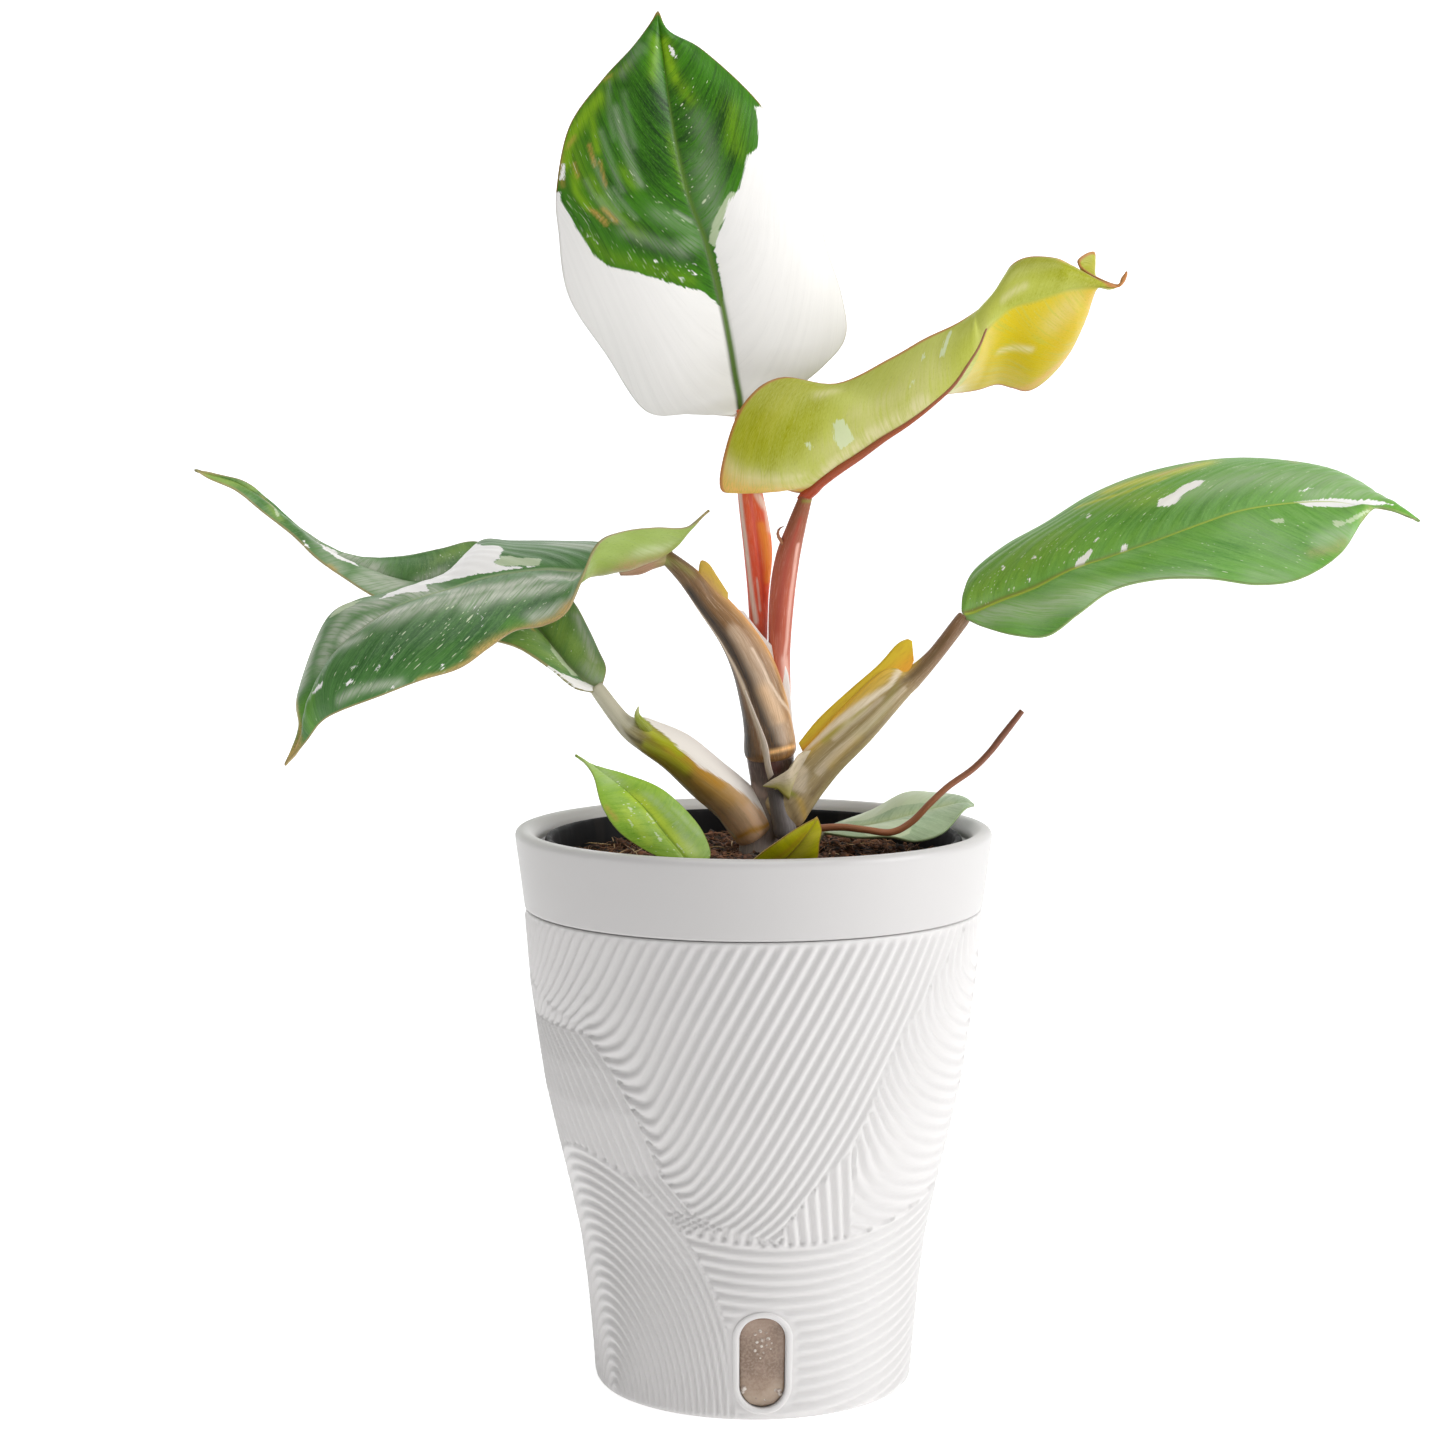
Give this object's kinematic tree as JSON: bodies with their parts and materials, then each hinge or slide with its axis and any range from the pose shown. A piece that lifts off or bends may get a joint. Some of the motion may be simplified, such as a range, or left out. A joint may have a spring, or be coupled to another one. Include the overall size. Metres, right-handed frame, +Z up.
{
  "type": "potted white knight philodendron",
  "caption": "Climbing philodendron with white-and-green heart-shaped leaves on dark sheathed stalks, in a raked white self-watering planter with a water window.",
  "frame": {"origin": "middle of the planter's flat base, on the surface that it stands on", "axes": "+Z up along the planter's axis, -Y to the front with the water window, +X to the viewer's right"},
  "size_m": [0.3299, 0.13, 0.3736],
  "materials": {
    "raked_white": "satin moulded plastic with raked ridges",
    "collar_white": "smooth satin moulded plastic",
    "window": "smoked clear plastic, droplets inside",
    "nursery_black": "thin black plastic",
    "cotton": "twisted cotton",
    "soil": "crumbly bark, peat and coir",
    "stem": "waxy grey to purple stem",
    "rose_stalk": "waxy rose to white stalk",
    "bronze_stalk": "waxy bronze stalk and sheath",
    "olive_stalk": "waxy olive stalk and sheath",
    "green_white_leaf": "glossy leaf, green with white sectors and cream specks",
    "lime_leaf": "young leaf, lime to yellow underside",
    "pale_leaf": "pale grey-green leaf"
  },
  "bodies": {
    "root": {"outer_shell": "raked_white", "level_window": "window", "grow_liner": "collar_white", "nursery_pot": "nursery_black", "wick": "cotton", "potting_mix": "soil", "main_stem": "stem", "petiole_1": "rose_stalk", "petiole_2": "rose_stalk", "petiole_3": "olive_stalk", "petiole_4": "bronze_stalk", "petiole_5": "olive_stalk", "petiole_6": "olive_stalk", "petiole_7": "olive_stalk", "petiole_8": "olive_stalk", "aerial_root": "rose_stalk", "leaf_1": "green_white_leaf", "leaf_2": "lime_leaf", "leaf_3": "green_white_leaf", "leaf_4": "green_white_leaf", "leaf_5": "green_white_leaf", "leaf_6": "green_white_leaf", "leaf_7": "lime_leaf", "leaf_8": "pale_leaf"}
  },
  "joints": []
}
